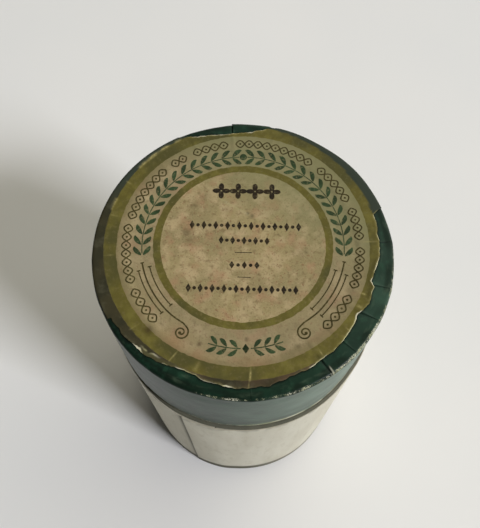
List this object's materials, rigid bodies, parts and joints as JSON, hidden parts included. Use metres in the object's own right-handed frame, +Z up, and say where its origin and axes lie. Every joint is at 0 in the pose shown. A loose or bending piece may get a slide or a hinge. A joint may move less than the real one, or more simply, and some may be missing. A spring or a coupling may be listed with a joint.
{
  "type": "phonograph cylinder in its carton",
  "caption": "Moulded phonograph cylinder in a round pasteboard carton with a slip-on lid, paper covers, a torn round label and a napped cotton lining.",
  "frame": {"origin": "centre of the base, on the surface that the carton stands on", "axes": "+Z up along the carton's axis, -Y towards the front of the label"},
  "size_m": [0.0716, 0.0716, 0.117],
  "materials": {
    "pasteboard": "raw",
    "cream_paper": "aged",
    "base_paper": "aged",
    "napped_cotton": "napped",
    "moulded_wax": "semi-gloss",
    "green_glazed_paper": "glazed",
    "label_paper": "aged"
  },
  "bodies": {
    "carton": {"body_tube": "pasteboard", "base_disc": "pasteboard", "body_wrap": "cream_paper", "base_paper": "base_paper", "neck_tube": "pasteboard", "flannel_lining": "napped_cotton", "base_pad": "napped_cotton"},
    "lid": {"lid_rim": "pasteboard", "lid_disc": "pasteboard", "lid_wrap": "green_glazed_paper", "lid_label": "label_paper"},
    "record": {"record_cylinder": "moulded_wax"}
  },
  "joints": [
    {"name": "lid_lift", "type": "slide", "parent": "carton", "child": "lid", "axis": [0, 0, 1], "range_m": [0, 0.26]},
    {"name": "record_lift", "type": "slide", "parent": "carton", "child": "record", "axis": [0, 0, 1], "range_m": [0, 0.1144]}
  ],
  "couplings": [
    {"joint": "record_lift", "follows": "lid_lift", "ratio": 0.44}
  ]
}
